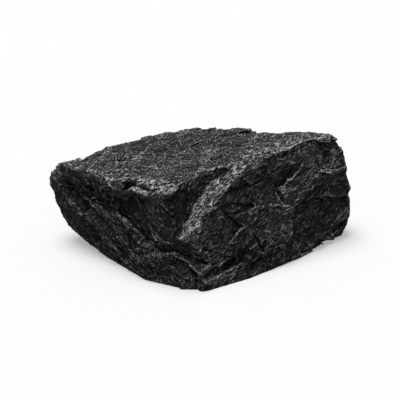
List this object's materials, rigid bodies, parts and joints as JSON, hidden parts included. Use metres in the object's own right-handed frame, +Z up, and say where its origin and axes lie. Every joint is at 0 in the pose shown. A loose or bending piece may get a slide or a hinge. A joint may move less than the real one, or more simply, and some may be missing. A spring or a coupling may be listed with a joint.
{
  "type": "granite boulder",
  "caption": "Angular dark foliated boulder with a flat slanting top, broken stepped sides and a flat underside; a natural landscape stone.",
  "frame": {"origin": "on the ground, under the middle of the boulder's bounding box", "axes": "+Z up, +X to the right along the boulder's length, -Y towards the front, where the two broken faces meet in a corner"},
  "size_m": [0.6112, 0.3838, 0.2146],
  "materials": {
    "stone": "rough, broken, with a faint sheen on the foliation"
  },
  "bodies": {
    "root": {"boulder": "stone"}
  },
  "joints": []
}
